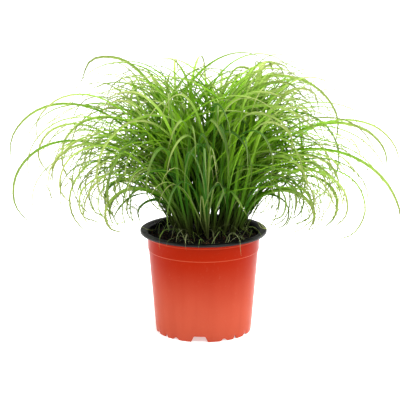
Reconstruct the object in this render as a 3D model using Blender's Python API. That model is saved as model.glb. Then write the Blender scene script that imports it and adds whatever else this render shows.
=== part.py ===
"""A clump of ornamental grass in a plastic nursery pot, in metres, +Z up, standing on z = 0.

The pot is one thin formed shell with a flat turned-down brim, a ledge under its collar and a
notched foot ring. Potting soil fills it. The clump is many shoots planted in the soil. Each shoot
is a three-cornered stem base that splits into three long keeled leaves, as a sedge's does, and
every leaf leans out, arches over and curls down to a fine tip.

Headings are degrees in plan, anticlockwise from +X. A lean is measured from straight up, so 90 is
level and 180 points straight down.
"""

import math
import random

import bmesh
import bpy
from mathutils import Matrix, Quaternion, Vector
from mathutils.bvhtree import BVHTree

MM = 0.001

# The pot: a 12 cm nursery pot.
RIM_RADIUS = 60 * MM
BRIM_WIDTH = 6.4 * MM
POT_HEIGHT = 98 * MM
BASE_RADIUS = 45.4 * MM
LEDGE_RADIUS = 51.9 * MM
LEDGE_HEIGHT = 79.4 * MM
LEDGE_STEP = 0.6 * MM
LIP_DEPTH = 2.3 * MM
WALL = 1 * MM
FOOT_WIDTH = 4.2 * MM
FOOT_DEPTH = 6.5 * MM
POT_COLUMNS = 72
POT_TURN = -4.8
# Foot notches, mirrored about the front and the back: the column where one peaks, its flat half
# width in columns, and its height as a share of the foot's depth.
NOTCHES = ((0, 1, 0.82), (6, 0, 0.34), (9, 0, 0.48), (13, 0, 0.34))
DRAIN_HOLES = 8
DRAIN_HOLE_RADIUS = 3.6 * MM
DRAIN_CIRCLE_RADIUS = 29 * MM

# The soil.
SOIL_LEVEL = 90.5 * MM
SOIL_MOUND = 3 * MM
SOIL_LUMPS = 0.7 * MM
SOIL_COLUMNS = 40
SOIL_RINGS = 5
GAP = 0.3 * MM

# The clump.
SEED = 57
SHOOTS = 44
CROWN_HALF_WIDTH = 31 * MM
CROWN_HALF_DEPTH = 26 * MM
CROWN_CENTRE = (4 * MM, 8 * MM)
GOLDEN_ANGLE = 137.508
STEM_RADIUS = 2.1 * MM
STEM_FOOT_SHARE = 0.75
STEM_PLANTED = 8 * MM
STEM_ABOVE = 7 * MM
STEM_ROOM = 9 * MM
LEAVES_ON_A_SHOOT = 3
LEAF_RINGS = 7
RING_SPACING = 0.8
LEAF_WIDTH = 3.8 * MM
KEEL_SHARE = 0.3
SETTLE_LENGTH = 45 * MM
PART_BY = 2.2 * MM
PATH_STEP = 2 * MM
CLEARANCE = 0.4 * MM
OWN_GAP_SHARE = 0.12
LOWEST_TIP = 78 * MM
USUAL_LOWEST = 93 * MM
USUAL_REACH = 130 * MM
USUAL_HEIGHT = 248 * MM
TRIES = 60

# The long outer leaves that give the clump its outline: the heading, the share of the way out along
# it at which the shoot stands, the lean at the stem, the share of the length at which the leaf is
# level, the lean at the tip, and the length in millimetres.
OUTLINE_LEAVES = (
    (182, 1.0, 27, 0.52, 244, 257),
    (176, 0.65, 21, 0.63, 198, 269),
    (188, 0.65, 14, 0.68, 220, 252),
    (186, 0.25, 15, 0.82, 202, 235),
    (170, 0.65, 34, 0.63, 249, 224),
    (194, 0.65, 39, 0.68, 210, 199),
    (164, 0.25, 27, 0.55, 267, 262),
    (200, 0.65, 24, 0.60, 249, 212),
    (178, 0.25, 21, 0.46, 242, 216),
    (172, 0.65, 19, 0.60, 223, 180),
    (210, -0.4, 9, 0.55, 239, 281),
    (214, -0.4, -8, 0.52, 223, 256),
    (190, 0.65, 50, 0.54, 282, 176),
    (200, 0.65, 48, 0.68, 272, 141),
    (4, 0.0, -11, 0.59, 197, 290),
    (356, 0.65, 33, 0.65, 207, 247),
    (8, 0.25, 35, 0.64, 195, 241),
    (352, 0.25, 37, 0.49, 192, 275),
    (2, 1.0, 35, 0.44, 283, 219),
    (350, -0.4, -4, 0.64, 204, 290),
    (14, 0.25, -21, 0.47, 283, 290),
    (346, 1.0, 39, 0.54, 247, 181),
    (10, 1.0, 31, 0.48, 248, 158),
    (340, 0.25, 30, 0.53, 262, 178),
    (18, 0.25, 23, 0.49, 234, 127),
    (334, 0.25, 5, 0.53, 275, 132),
    (268, 0.8, 30, 0.76, 157, 199),
    (92, 1.0, 16, 0.66, 199, 212),
)
# The other leaves come in three kinds: the least and most of the lean at the stem, the share at
# which the leaf is level, the lean at the tip, and the length in millimetres.
UPRIGHT = ((0, 19), (0.64, 0.84), (115, 225), (168, 232))
ARCHING = ((13, 36), (0.52, 0.68), (165, 255), (155, 218))
LOW = ((32, 46), (0.38, 0.55), (215, 290), (92, 150))
# The share of arching leaves, and of arching and low ones, on the outermost shoots.
ARCHING_SHARE = 0.4
LOW_SHARE = 0.52

COLOURS = {
    "terracotta_plastic": ((0.62, 0.10, 0.035, 1.0), 0.42),
    "dark_soil": ((0.018, 0.013, 0.010, 1.0), 0.95),
    "leaf_green": ((0.13, 0.33, 0.03, 1.0), 0.5),
}


def clear_scene():
    for obj in list(bpy.data.objects):
        bpy.data.objects.remove(obj, do_unlink=True)


def material(name):
    """A plain finish from the table of colours."""
    if name in bpy.data.materials:
        return bpy.data.materials[name]
    colour, roughness = COLOURS[name]
    made = bpy.data.materials.new(name)
    made.use_nodes = True
    shader = made.node_tree.nodes["Principled BSDF"]
    shader.inputs["Base Color"].default_value = colour
    shader.inputs["Roughness"].default_value = roughness
    shader.inputs["Metallic"].default_value = 0.0
    made.diffuse_color = colour
    return made


def new_object(name, bm, finish=None, smooth=True):
    """A named object from a bmesh, with its faces turned outwards."""
    bmesh.ops.recalc_face_normals(bm, faces=bm.faces)
    if bm.calc_volume(signed=True) < 0:
        bmesh.ops.reverse_faces(bm, faces=bm.faces)
    mesh = bpy.data.meshes.new(name)
    bm.to_mesh(mesh)
    bm.free()
    obj = bpy.data.objects.new(name, mesh)
    bpy.context.scene.collection.objects.link(obj)
    if finish:
        mesh.materials.append(material(finish))
    if smooth:
        mesh.shade_smooth()
        mesh.set_sharp_from_angle(angle=math.radians(35))
    return obj


def cut_away(obj, name, cutter_bm):
    """Takes the cutter's shape out of an object."""
    cutter = new_object(name, cutter_bm, smooth=False)
    cutter.hide_render = True
    cutter.display_type = "WIRE"
    cut = obj.modifiers.new(name, "BOOLEAN")
    cut.operation = "DIFFERENCE"
    cut.solver = "EXACT"
    cut.object = cutter


def turned(profile, columns):
    """A bmesh turned round Z from (radius, height) points. A point at radius 0 closes on the axis."""
    bm = bmesh.new()
    points = [bm.verts.new((radius, 0.0, height)) for radius, height in profile]
    edges = [bm.edges.new(pair) for pair in zip(points, points[1:])]
    if profile[0][0] and profile[-1][0]:
        edges.append(bm.edges.new((points[-1], points[0])))
    bmesh.ops.spin(
        bm,
        geom=points + edges,
        cent=(0, 0, 0),
        axis=(0, 0, 1),
        angle=math.tau,
        steps=columns,
        use_merge=False,
    )
    bmesh.ops.remove_doubles(bm, verts=bm.verts, dist=0.01 * MM)
    return bm


# ---------------------------------------------------------------- pot


def pot_profile():
    """The shell's section from the middle of its underside, up the outside and down the inside."""
    brim_inner = RIM_RADIUS - BRIM_WIDTH
    brim_under = POT_HEIGHT - WALL
    foot_inner = BASE_RADIUS - FOOT_WIDTH
    floor = FOOT_DEPTH + WALL
    return (
        (0.0, FOOT_DEPTH),
        (foot_inner - WALL, FOOT_DEPTH),
        (foot_inner, 0.0),
        (BASE_RADIUS - WALL, 0.0),
        (BASE_RADIUS, WALL),
        (LEDGE_RADIUS, LEDGE_HEIGHT),
        (LEDGE_RADIUS + LEDGE_STEP, LEDGE_HEIGHT + LEDGE_STEP),
        (brim_inner, brim_under - WALL),
        (brim_inner + WALL, brim_under),
        (RIM_RADIUS - WALL, brim_under),
        (RIM_RADIUS - WALL, POT_HEIGHT - LIP_DEPTH),
        (RIM_RADIUS, POT_HEIGHT - LIP_DEPTH),
        (RIM_RADIUS, POT_HEIGHT - 0.8 * WALL),
        (RIM_RADIUS - 0.8 * WALL, POT_HEIGHT),
        (brim_inner, POT_HEIGHT),
        (brim_inner - WALL, POT_HEIGHT - WALL),
        (LEDGE_RADIUS - 0.8 * WALL, LEDGE_HEIGHT),
        (BASE_RADIUS - 1.9 * WALL, FOOT_DEPTH),
        (foot_inner - WALL, floor),
        (0.0, floor),
    )


def notch_height(column):
    """How far the foot is raised at a column of the turned shell."""
    half = POT_COLUMNS // 2
    away = min(column % half, half - column % half)
    for peak, half_width, share in NOTCHES:
        if abs(away - peak) <= half_width:
            return share * FOOT_DEPTH
    return 0.0


def build_pot():
    """The shell, with notches raised into its foot ring and drain holes through its floor."""
    bm = turned(pot_profile(), POT_COLUMNS)
    for vert in bm.verts:
        turn = math.atan2(vert.co.y, vert.co.x) + math.pi / 2
        column = round(turn / math.tau * POT_COLUMNS) % POT_COLUMNS
        if vert.co.z < 0.5 * FOOT_DEPTH:
            vert.co.z += notch_height(column)
    bmesh.ops.rotate(bm, verts=bm.verts, matrix=Matrix.Rotation(math.radians(POT_TURN), 3, "Z"))
    pot = new_object("pot", bm, "terracotta_plastic")
    drill = bmesh.new()
    for index in range(DRAIN_HOLES):
        turn = math.tau * (index + 0.5) / DRAIN_HOLES
        made = bmesh.ops.create_cone(
            drill,
            cap_ends=True,
            segments=10,
            radius1=DRAIN_HOLE_RADIUS,
            radius2=DRAIN_HOLE_RADIUS,
            depth=4 * WALL,
        )
        centre = Vector((math.cos(turn), math.sin(turn), 0)) * DRAIN_CIRCLE_RADIUS
        centre.z = FOOT_DEPTH + WALL / 2
        bmesh.ops.translate(drill, verts=made["verts"], vec=centre)
    cut_away(pot, "drain_hole_cutter", drill)


# ---------------------------------------------------------------- clump


def in_plan(heading):
    """The level unit vector at a heading in degrees."""
    turn = math.radians(heading)
    return Vector((math.cos(turn), math.sin(turn), 0.0))


def leaning(heading, lean):
    """The unit vector at a heading and a lean in degrees."""
    slope = math.radians(lean)
    return in_plan(heading) * math.sin(slope) + Vector((0, 0, math.cos(slope)))


def soil_height(x, y):
    """The soil's surface: a low mound with slow lumps."""
    inward = 1 - min(1.0, math.hypot(x, y) / (RIM_RADIUS - BRIM_WIDTH))
    lumps = math.sin(190 * x + 1.1) * math.cos(160 * y - 0.4) + 0.6 * math.sin(310 * y + 250 * x)
    return SOIL_LEVEL + SOIL_MOUND * inward + SOIL_LUMPS * lumps


def crown_spot(heading, out):
    """The place in plan at a share of the way out to the crown's edge."""
    way = in_plan(heading) * out
    return Vector((way.x * CROWN_HALF_WIDTH, way.y * CROWN_HALF_DEPTH)) + Vector(CROWN_CENTRE)


def stem_of(index, draw):
    """A shoot's place at soil level, the way it leans, and the way its first side faces."""
    out = math.sqrt((index + 0.5) / SHOOTS)
    spot = crown_spot(index * GOLDEN_ANGLE, out)
    heading = index * GOLDEN_ANGLE + draw.uniform(-12, 12)
    return {
        "place": Vector((spot.x, spot.y, soil_height(spot.x, spot.y))),
        "heading": heading,
        "turn": heading,
        "lean": 3 + 21 * out + draw.uniform(-3, 3),
        "out": out,
    }


def taper(share):
    """A leaf's width along its length, as a share of its widest."""
    return min(1.0, 0.8 + 0.7 * share) * (1 - share**2.4) ** 0.9


def smooth(share):
    share = max(0.0, min(1.0, share))
    return share * share * (3 - 2 * share)


def leaf_frames(stem, rank, leaf, shares):
    """Points along a leaf at these shares of its length, each with the way it runs and faces.

    A leaf starts flat on its side of the three-cornered stem. Over SETTLE_LENGTH it parts from the
    stem's other leaves and settles to its own heading. It twists by the same amount from each ring
    to the next, until its tip faces that way too. It gains its lean by a power of the length, so
    that the tip curls most.
    """
    bend = leaf["tip_lean"] - leaf["lean"]
    power = math.log((90 - leaf["lean"]) / bend) / math.log(leaf["level"])
    stem_way = leaning(stem["heading"], stem["lean"])
    rank_way = in_plan(rank)
    twist = math.radians(math.remainder(leaf["heading"] - rank, 360))
    point = stem["place"] + stem_way * STEM_ABOVE + rank_way * STEM_RADIUS / 2
    frames = []
    steps = max(2, round(leaf["length"] / PATH_STEP))
    stops = [round(share * steps) for share in shares]
    for step in range(steps + 1):
        share = step / steps
        settled = smooth(share * leaf["length"] / SETTLE_LENGTH)
        lean = leaf["lean"] + bend * share**power
        heading = leaf["heading"] + leaf["sway"] * share * share
        way = stem_way.lerp(leaning(heading, lean), settled).normalized()
        face = leaning(heading, lean + 90)
        face = (face - way * face.dot(way)).normalized()
        face.rotate(Quaternion(way, -twist * (1 - share ** (1 / RING_SPACING))))
        if step in stops:
            frames += [(point + rank_way * PART_BY * settled, way, face)] * stops.count(step)
        point += way * leaf["length"] / steps
    return frames


def drawn_leaf(stem, rank, draw, crowded):
    """A leaf of an ordinary size, pulled outwards more the further out its shoot stands.

    The more crowded its place, the shorter it is, and the closer it keeps to its stem's way.
    """
    pull = 0.35 + 1.5 * stem["out"] + 0.15 * crowded
    way = in_plan(rank) + in_plan(stem["heading"]) * pull
    lot = draw.random() / max(0.3, stem["out"])
    if way.normalized().y < -0.7:
        lot = 1.0
    kind = ARCHING if lot < ARCHING_SHARE else LOW if lot < LOW_SHARE else UPRIGHT
    lean, level, tip_lean, length = (draw.uniform(*limits) for limits in kind)
    return {
        "heading": math.degrees(math.atan2(way.y, way.x)) + draw.uniform(-28, 28),
        "lean": lean,
        "level": level,
        "tip_lean": tip_lean,
        "length": length * MM * 0.93**crowded,
        "sway": draw.uniform(-35, 35),
        "width": LEAF_WIDTH * draw.uniform(0.75, 1.15),
    }


def outline_leaf(row, draw, play):
    """A leaf from the table of long outer leaves, with some play to let it clear the rest."""
    heading, _, lean, level, tip_lean, length = row
    return {
        "heading": heading + draw.uniform(-play, play),
        "lean": lean + draw.uniform(-play, play) / 2,
        "level": level,
        "tip_lean": tip_lean + draw.uniform(-play, play),
        "length": length * MM,
        "sway": draw.uniform(-play, play) * 2,
        "width": LEAF_WIDTH * 0.95,
    }


def outline_places(stems):
    """Gives each long outer leaf to the free shoot nearest its place in plan: {shoot: row}.

    That shoot is turned so that its first side faces the leaf's way.
    """
    places = {}
    for row in OUTLINE_LEAVES:
        spot = crown_spot(row[0], row[1])
        free = [i for i in range(SHOOTS) if i not in places]
        best = min(free, key=lambda i: (stems[i]["place"].xy - spot).length)
        stems[best]["turn"] = row[0]
        places[best] = row
    return places


def ranks_of(stem):
    """The headings of a stem's three sides."""
    return [stem["turn"] + 360 / LEAVES_ON_A_SHOOT * side for side in range(LEAVES_ON_A_SHOOT)]


def section(frame, width, grow=0.0):
    """A leaf's three corners round a point: its two edges, and the ridge along its inner side."""
    point, way, face = frame
    side = way.cross(face) * (width / 2 + 2 * grow)
    back = face * grow
    return (
        point - side + back,
        point + side + back,
        point - face * (width * KEEL_SHARE + grow),
    )


def leaf_rings(stem, rank, leaf, grow=0.0):
    """A leaf's sections from just off the stem to just short of its tip, and the tip itself."""
    shares = [(i / LEAF_RINGS) ** RING_SPACING for i in range(LEAF_RINGS + 1)]
    frames = leaf_frames(stem, rank, leaf, shares)
    rings = [section(f, leaf["width"] * taper(s), grow) for f, s in zip(frames[1:-1], shares[1:-1])]
    point, way, _ = frames[-1]
    return rings, point + way * 2 * grow


def leaf_tree(base, rings, tip):
    """A search tree of a leaf's faces, and the length of leaf that each face belongs to.

    Each side of a length is bent across both of its diagonals, so either way of parting it is kept
    clear.
    """
    points = [corner for ring in (base, *rings) for corner in ring] + [tip]
    faces, belongs = [], []
    for low in range(len(rings) + 1):
        for i in range(3):
            a, b = 3 * low + i, 3 * low + (i + 1) % 3
            if low == len(rings):
                made = [(a, b, len(points) - 1)]
            else:
                made = [(a, b, b + 3), (a, b + 3, a + 3), (a, b, a + 3), (b, b + 3, a + 3)]
            faces += made
            belongs += [low] * len(made)
    return BVHTree.FromPolygons(points, faces), belongs


def raised(base, rings):
    """A leaf's base ring moved a little way up the leaf, off the leaves that share the stem's top."""
    return [low.lerp(high, OWN_GAP_SHARE) for low, high in zip(base, rings[0])]


def stem_tree(stem):
    """A search tree of a stem's sides, a little larger than the stem.

    It reaches STEM_ROOM above the stem, which leaves room for the stem's own leaves to start.
    """
    low = stem_ring(stem, -STEM_PLANTED, STEM_RADIUS + 2 * CLEARANCE)
    high = stem_ring(stem, STEM_ABOVE + STEM_ROOM, STEM_RADIUS + 2 * CLEARANCE)
    faces = [(0, 1, 4, 3), (1, 2, 5, 4), (2, 0, 3, 5), (3, 4, 5)]
    return BVHTree.FromPolygons(low + high, faces)


def is_placed_well(rings, tip, usual):
    """Whether a leaf stays off the soil and the brim and hangs no lower than it should.

    A usual leaf also keeps inside the bounds of the clump's mass.
    """
    lowest = USUAL_LOWEST if usual else LOWEST_TIP
    centres = [sum(ring, Vector()) / 3 for ring in rings] + [tip]
    points = [a.lerp(b, share) for a, b in zip(centres, centres[1:]) for share in (0.25, 0.5, 0.75, 1)]
    for point in points:
        out = point.xy.length
        if point.z < (POT_HEIGHT + 4 * MM if out < RIM_RADIUS + 3 * MM else lowest):
            return False
        spread = (point.xy - Vector(CROWN_CENTRE)).length
        if usual and (spread > USUAL_REACH or point.z > USUAL_HEIGHT):
            return False
    return True


def is_clear(base, rings, tip, grown, own, stumps):
    """Whether a leaf keeps off the other leaves and stems, and off itself."""
    tree, belongs = leaf_tree(base, rings, tip)
    if any(tree.overlap(other) for other in grown + stumps):
        return False
    if any(abs(belongs[a] - belongs[b]) > 1 for a, b in tree.overlap(tree)):
        return False
    upper, _ = leaf_tree(raised(base, rings), rings, tip)
    return not any(upper.overlap(other) for other in own)


def grow_leaf(stem, side, row, draw, grown, own, stumps):
    """Draws a leaf again and again until it is clear.

    Returns the leaf, its search tree, and the same without the foot that its own shoot shares.
    """
    rank = ranks_of(stem)[side]
    top = stem_ring(stem, STEM_ABOVE, STEM_RADIUS)
    base = (top[side], top[(side + 1) % LEAVES_ON_A_SHOOT], sum(top, Vector()) / len(top))
    for attempt in range(10 * TRIES):
        usual = not row or attempt >= 2 * TRIES
        if usual:
            leaf = drawn_leaf(stem, rank, draw, attempt // TRIES)
        else:
            leaf = outline_leaf(row, draw, 3 + 0.1 * attempt)
        rings, tip = leaf_rings(stem, rank, leaf, CLEARANCE)
        if not is_placed_well(rings, tip, usual):
            continue
        if is_clear(base, rings, tip, grown, own, stumps):
            rings, tip = leaf_rings(stem, rank, leaf)
            whole, _ = leaf_tree(base, rings, tip)
            upper, _ = leaf_tree(raised(base, rings), rings, tip)
            return leaf, whole, upper
    raise RuntimeError(f"no room for side {side} of the shoot {stem['out']:.2f} of the way out")


def grow_clump():
    """Every shoot with its three leaves: [(stem, [leaf, leaf, leaf]), ...].

    The long outer leaves grow first, each on the first side of its own shoot.
    """
    draw = random.Random(SEED)
    stems = [stem_of(i, draw) for i in range(SHOOTS)]
    places = outline_places(stems)
    stumps = [stem_tree(stem) for stem in stems]
    jobs = [(index, 0, row) for index, row in places.items()]
    jobs += [(i, side, None) for i in range(SHOOTS) for side in range(LEAVES_ON_A_SHOOT)]
    leaves, wholes, uppers = {}, {}, {}
    for index, side, row in jobs:
        if (index, side) in leaves:
            continue
        own = [tree for (i, _), tree in uppers.items() if i == index]
        grown = [tree for (i, _), tree in wholes.items() if i != index]
        others = stumps[:index] + stumps[index + 1 :]
        key = index, side
        leaves[key], wholes[key], uppers[key] = grow_leaf(
            stems[index], side, row, draw, grown, own, others
        )
    return [
        (stem, [leaves[index, side] for side in range(LEAVES_ON_A_SHOOT)])
        for index, stem in enumerate(stems)
    ]


def stem_ring(stem, along, radius):
    """The stem's three corners at a distance along it from the soil."""
    centre = stem["place"] + leaning(stem["heading"], stem["lean"]) * along
    corner = 180 / LEAVES_ON_A_SHOOT
    return [centre + in_plan(rank - corner) * radius for rank in ranks_of(stem)]


def add_prism(bm, low, high):
    """A three-sided block between two rings of corners. Returns its upper face."""
    lower = [bm.verts.new(point) for point in low]
    upper = [bm.verts.new(point) for point in high]
    bm.faces.new(list(reversed(lower)))
    for i in range(len(low)):
        j = (i + 1) % len(low)
        bm.faces.new((lower[i], lower[j], upper[j], upper[i]))
    return bm.faces.new(upper)


def extrude_leaf(bm, face, corners, rings, tip):
    """Draws a leaf out of one face of the stem's top, ring by ring, and closes it in a tip."""
    for ring in rings:
        made = bmesh.ops.extrude_discrete_faces(bm, faces=[face])
        face = made["faces"][0]
        moved = [min(face.verts, key=lambda v: (v.co - c.co).length) for c in corners]
        for vert, place in zip(moved, ring):
            vert.co = place
        corners = moved
    made = bmesh.ops.poke(bm, faces=[face])
    made["verts"][0].co = tip


def build_shoot(name, stem, leaves):
    """One shoot: the planted stem base, poked into three faces that each grow a leaf."""
    bm = bmesh.new()
    low = stem_ring(stem, -STEM_PLANTED, STEM_RADIUS * STEM_FOOT_SHARE)
    high = stem_ring(stem, STEM_ABOVE, STEM_RADIUS)
    top = add_prism(bm, low, high)
    rim = list(top.verts)
    made = bmesh.ops.poke(bm, faces=[top])
    middle = made["verts"][0]
    slots = []
    for side in range(len(rim)):
        corners = (rim[side], rim[(side + 1) % len(rim)], middle)
        slots.append((next(f for f in made["faces"] if set(f.verts) == set(corners)), corners))
    for (face, corners), rank, leaf in zip(slots, ranks_of(stem), leaves):
        extrude_leaf(bm, face, corners, *leaf_rings(stem, rank, leaf))
    new_object(name, bm, "leaf_green")


# ---------------------------------------------------------------- soil


def inner_radius(height):
    """The pot's inside radius at a height above its floor."""
    low, high = BASE_RADIUS - 1.9 * WALL, LEDGE_RADIUS - 0.8 * WALL
    return low + (high - low) * (height - FOOT_DEPTH) / (LEDGE_HEIGHT - FOOT_DEPTH)


def build_soil(shoots):
    """The soil plug, lumpy on top, with a close pocket for each planted stem."""
    bottom = FOOT_DEPTH + WALL + GAP
    edge = inner_radius(SOIL_LEVEL) - 2 * GAP
    profile = [(0.0, bottom), (inner_radius(bottom) - 2 * GAP, bottom), (edge, SOIL_LEVEL)]
    rings = [edge * (SOIL_RINGS - 1 - i) / (SOIL_RINGS - 1) for i in range(1, SOIL_RINGS)]
    profile += [(radius, SOIL_LEVEL) for radius in rings]
    bm = turned(profile, SOIL_COLUMNS)
    for vert in bm.verts:
        if vert.co.z > SOIL_LEVEL - GAP:
            vert.co.z = soil_height(vert.co.x, vert.co.y)
    soil = new_object("potting_soil", bm, "dark_soil")
    pockets = bmesh.new()
    # The corners of a triangle lie twice as far out as its sides, so the sides keep half of this.
    loose = 2 * GAP
    for stem, _ in shoots:
        low = stem_ring(stem, -STEM_PLANTED - GAP, STEM_RADIUS * STEM_FOOT_SHARE + loose)
        high = stem_ring(stem, STEM_ABOVE, STEM_RADIUS + loose)
        add_prism(pockets, low, high)
    cut_away(soil, "stem_pocket_cutter", pockets)


def main():
    clear_scene()
    build_pot()
    shoots = grow_clump()
    build_soil(shoots)
    for number, (stem, leaves) in enumerate(shoots, start=1):
        build_shoot(f"shoot_{number:02d}", stem, leaves)


main()
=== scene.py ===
"""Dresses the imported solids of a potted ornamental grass: pot, soil, shoots of fine leaves, studio.

The three long leaves that each solid shoot carries are read back from its mesh and swept again as
smooth folded blades. Finer leaves of the same habit are grown between them.
"""

import math
import random
from collections import namedtuple

import bmesh
import bpy
import numpy as np
from bpy.props import FloatProperty, FloatVectorProperty, IntProperty, PointerProperty
from mathutils import Matrix, Vector, noise


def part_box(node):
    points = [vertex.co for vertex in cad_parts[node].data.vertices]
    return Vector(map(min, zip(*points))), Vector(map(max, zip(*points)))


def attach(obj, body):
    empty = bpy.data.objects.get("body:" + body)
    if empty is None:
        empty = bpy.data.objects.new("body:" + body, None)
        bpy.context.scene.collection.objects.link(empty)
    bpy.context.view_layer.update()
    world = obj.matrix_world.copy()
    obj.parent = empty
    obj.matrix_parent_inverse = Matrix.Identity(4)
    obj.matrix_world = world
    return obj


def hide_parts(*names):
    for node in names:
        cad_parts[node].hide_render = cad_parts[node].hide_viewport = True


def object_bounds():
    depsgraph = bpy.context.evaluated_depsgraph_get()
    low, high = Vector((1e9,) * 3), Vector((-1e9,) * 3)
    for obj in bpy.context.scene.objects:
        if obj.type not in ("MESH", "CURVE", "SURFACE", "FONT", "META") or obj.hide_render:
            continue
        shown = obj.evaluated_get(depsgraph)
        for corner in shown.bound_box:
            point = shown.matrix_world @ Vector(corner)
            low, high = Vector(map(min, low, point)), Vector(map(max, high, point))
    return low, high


bl_info = {
    "name": "Potted Ornamental Grass",
    "version": (1, 0, 0),
    "blender": (4, 5, 0),
    "location": "3D View > Sidebar > Grass",
    "description": "Makes a clump of arching grass in a two-tone nursery pot, and a studio",
    "category": "Add Mesh",
}

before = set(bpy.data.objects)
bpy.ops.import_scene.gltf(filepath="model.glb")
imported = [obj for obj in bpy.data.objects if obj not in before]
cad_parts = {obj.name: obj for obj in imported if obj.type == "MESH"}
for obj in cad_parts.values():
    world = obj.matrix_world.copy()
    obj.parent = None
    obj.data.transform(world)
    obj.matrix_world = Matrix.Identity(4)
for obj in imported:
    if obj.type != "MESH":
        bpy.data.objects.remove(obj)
CAD_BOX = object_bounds()
BODY = "root"
MM = 0.001

# The pot, read from its solid where it can be.
POT_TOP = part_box("pot")[1].z
RIM_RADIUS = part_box("pot")[1].x
BRIM_WIDTH = 6.4 * MM
LIP_DEPTH = 2.3 * MM
WALL = 1 * MM
BASE_RADIUS = 45.4 * MM
LEDGE_RADIUS = 51.9 * MM
LEDGE_HEIGHT = 79.4 * MM
LEDGE_STEP = 0.6 * MM
FOOT_WIDTH = 4.2 * MM
FOOT_DEPTH = 6.5 * MM
POT_TURN = -4.8
DRAIN_HOLES = 8
DRAIN_HOLE_RADIUS = 3.6 * MM
DRAIN_CIRCLE_RADIUS = 29 * MM
POT_SHARP = math.radians(40)
# Notches in the foot: the heading from the front in degrees, the half widths at the bottom and at
# the top in degrees, and the height. They are mirrored about the front and the back.
NOTCHES = (
    (0, 10.0, 7.0, 5.3 * MM),
    (30.3, 4.6, 1.2, 2.2 * MM),
    (46.0, 2.6, 1.4, 3.1 * MM),
    (65.0, 4.6, 1.2, 2.2 * MM),
)

# The soil.
SOIL_LEVEL = 90.5 * MM
SOIL_MOUND = 3 * MM
SOIL_LUMPS = 0.7 * MM
SOIL_ROUGHNESS = 1.1 * MM
GAP = 0.3 * MM
# Columns round the soil and rings from its edge to its middle, and those of the crumbs' ground.
SOIL_GRID = (180, 52)
CRUMB_GRID = (60, 14)
CRUMB_SEED = 3

# The clump.
CROWN_RADIUS = 31 * MM
SETTLE_LENGTH = 45 * MM
PATH_STEP = 3 * MM
# How low a leaf may hang outside the pot, as the camera sees it.
USUAL_LOWEST = 93 * MM
# How far the leaves stay above the soil and above and beside the brim, and how much more in front.
SOIL_CLEARANCE = 7 * MM
BRIM_CLEARANCE = 1.5 * MM
BRIM_MARGIN = 2 * MM
FRONT_START = 20 * MM
FRONT_CLEARANCE = 32 * MM
# How much lower the clump's top is for each metre further back.
BACKWARD_FALL = 0.26
# How far the finer leaves may go past the box of the solids.
ROOM = np.array((2, 2, 10)) * MM
INNER_CORNER = np.array(CAD_BOX[0]) - ROOM
OUTER_CORNER = np.array(CAD_BOX[1]) + ROOM
# The main leaves that reach further out than this have slimmer companions. Each is turned aside and
# tilted by so many degrees, and has a size of its own, a width in millimetres and a tone.
LONG_REACH = 132 * MM
COMPANIONS = 8
COMPANION_TRIES = 8
COMPANION_TURNS = (-34, 34)
COMPANION_SIZES = (0.62, 1.0)
COMPANION_TILTS = (-14, 10)
COMPANION_WIDTHS = (0.8, 1.9)
COMPANION_TONES = (0.5, 1.5)
# How much less the leaves at the front hang over, in degrees of their lean at the tip.
FRONT_LIFT = 60
# How much less far out the finer leaves reach at the front.
FRONT_NARROWING = 1.35
# The kinds of finer leaf: the least and most of the lean at the stem in degrees, of the share of
# the length at which the leaf is level, of the lean at the tip, of the length, of the width, of how
# far out the leaf may reach and of how high, in millimetres.
KINDS = {
    "upright": ((0, 25), (0.66, 0.93), (105, 210), (155, 250), (1.9, 3.7), (70, 130), (238, 273)),
    "arching": ((14, 38), (0.60, 0.80), (130, 235), (175, 280), (1.1, 2.4), (100, 168), (215, 266)),
    "far": ((24, 56), (0.42, 0.70), (115, 190), (190, 290), (1.0, 1.8), (150, 182), (180, 268)),
    "wispy": ((12, 58), (0.25, 0.60), (180, 360), (120, 260), (0.8, 1.4), (110, 176), (150, 270)),
    "curl": ((25, 70), (0.18, 0.40), (260, 480), (140, 250), (1.1, 1.6), (90, 150), (120, 195)),
    "low": ((55, 80), (0.20, 0.50), (115, 210), (60, 130), (0.8, 1.4), (60, 105), (108, 140)),
}
# How many in a hundred are of each kind, at a shoot in the middle of the clump and at its edge.
SHARES = {
    "upright": (78, 17), "arching": (12, 16), "far": (4, 20), "wispy": (6, 13), "curl": (0, 24),
    "low": (0, 10),
}
# The least and most of the tone of the thin kinds. Over 1 it is greyish.
TONES = {"far": (0.5, 1.3), "wispy": (0.6, 1.5), "curl": (1.1, 1.7), "low": (0.7, 1.4)}
# How much of a heading may point to the front, where those kinds don't grow.
MOST_FORWARD = 0.55
# How far up a shoot's main leaves the finer ones start, and how often each is drawn to fit.
HIGHEST_START = 46 * MM
LEAF_TRIES = 40
# The share of the upright leaves that are broad, and how much wider they are.
BROAD_SHARE = 0.06
BROAD_GAIN = 1.55
# The least and most of a leaf's tone low in the middle, and what is added further out or higher.
PLAIN_TONES = (-0.1, 0.38)
PALE_GAIN = 0.62
PALE_REACH = 130 * MM
PALE_START = 180 * MM
PALE_SPAN = 60 * MM
# A main leaf's width as a share of its solid's, and how far it is turned about its own length.
MAIN_WIDTHS = (0.82, 1.1)
MAIN_SPINS = (30, 85)
# The leaves' section, and the free strip at each side of a leaf's column in the UV map.
BLADE_SIDES = 4
COLUMN_MARGIN = 0.07
BLADE_SHARP = math.radians(50)
MERGE_DISTANCE = 1e-6
FIRST_SEED = 300

# The studio.
FLOOR_SIZE = 12
CAMERA_LENS = 171.2
CAMERA_TILT = math.radians(90 - 13.73)
CAMERA_SHIFT = -3.3 * MM
AIM = (0, 0, 140 * MM)
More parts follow.
